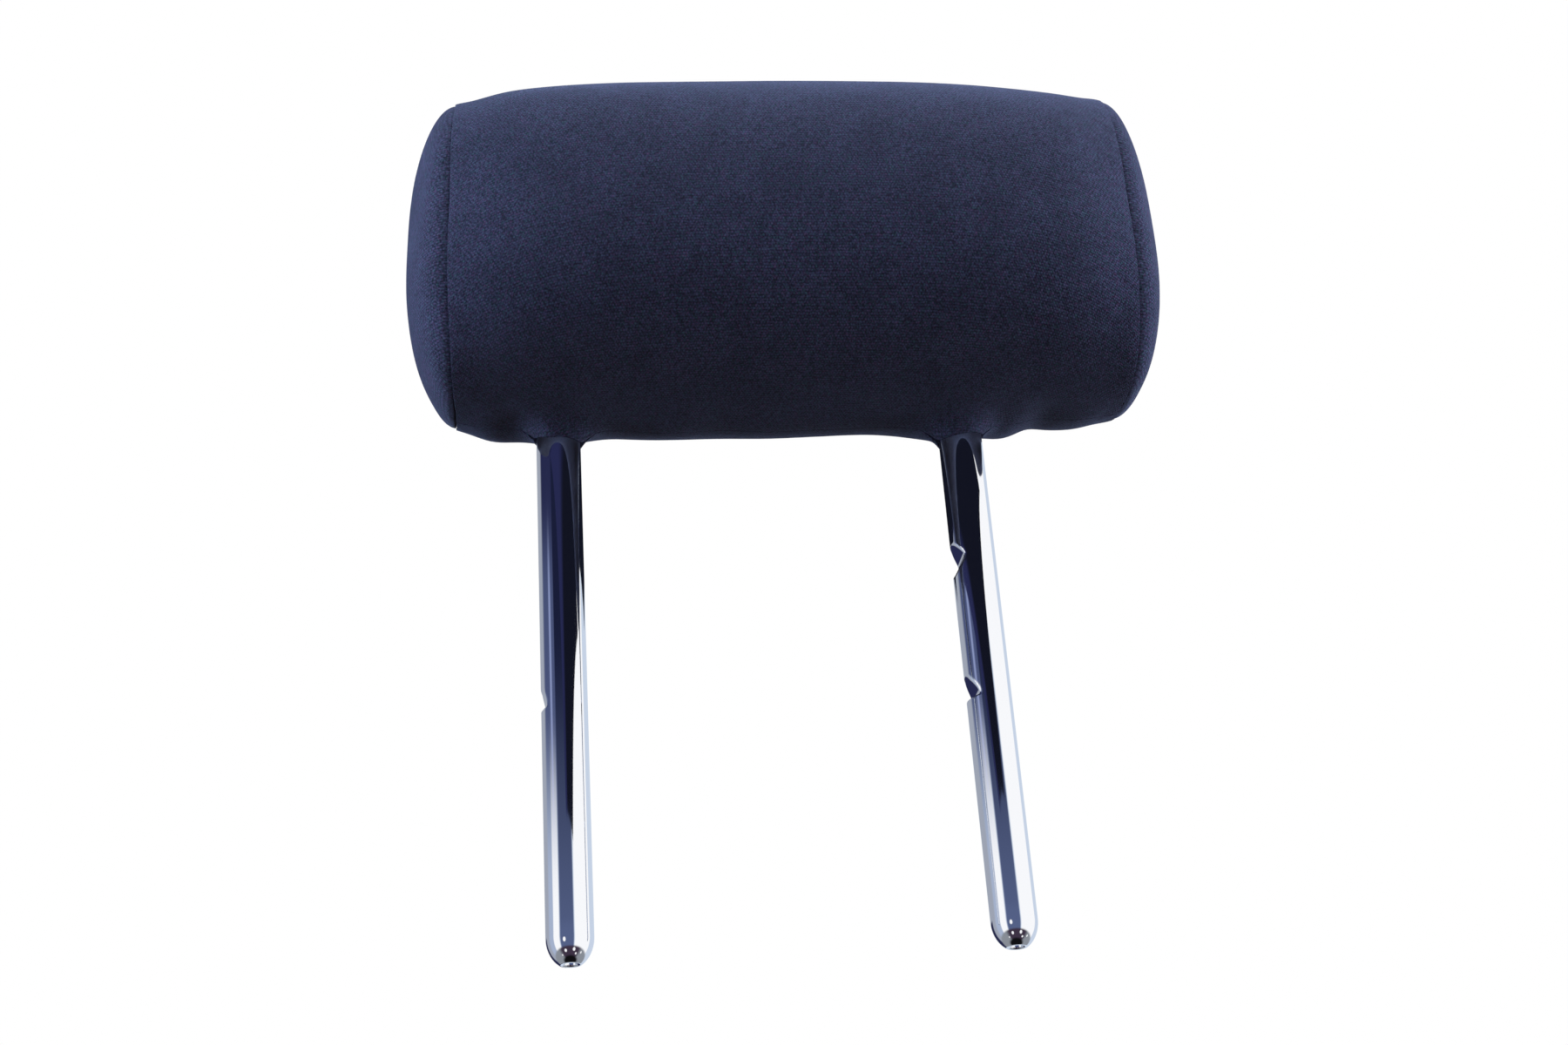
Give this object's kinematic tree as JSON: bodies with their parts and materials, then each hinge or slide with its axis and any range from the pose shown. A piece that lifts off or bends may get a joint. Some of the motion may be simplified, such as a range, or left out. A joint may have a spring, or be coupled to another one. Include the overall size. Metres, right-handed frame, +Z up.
{
  "type": "car headrest",
  "caption": "Cloth-covered foam head cushion on a bent, chromed steel tube whose two legs are notched posts for the seat's guide sleeves.",
  "frame": {"origin": "midway between the centre lines of the two posts, level with their lower ends", "axes": "+Z up along the posts, -Y the side that faces the head, X across from post to post"},
  "size_m": [0.2454, 0.1018, 0.2894],
  "materials": {
    "chromed_steel": "bright chrome plating",
    "black_plastic": "moulded, satin",
    "plated_screw": "zinc plated",
    "moulded_foam": "open-cell, matte",
    "navy_cloth": "fine woven seat cloth, matte",
    "grey_plastic": "extruded, satin"
  },
  "bodies": {
    "root": {"post_tube": "chromed_steel", "insert_front_half": "black_plastic", "insert_rear_half": "black_plastic", "insert_screw_1": "plated_screw", "insert_screw_2": "plated_screw", "insert_screw_3": "plated_screw", "insert_screw_4": "plated_screw", "insert_screw_5": "plated_screw", "insert_screw_6": "plated_screw", "foam_core": "moulded_foam", "cover_main_panel": "navy_cloth", "cover_left_side": "navy_cloth", "cover_right_side": "navy_cloth", "closing_strip_hook": "grey_plastic", "closing_strip_catch": "grey_plastic"}
  },
  "joints": []
}
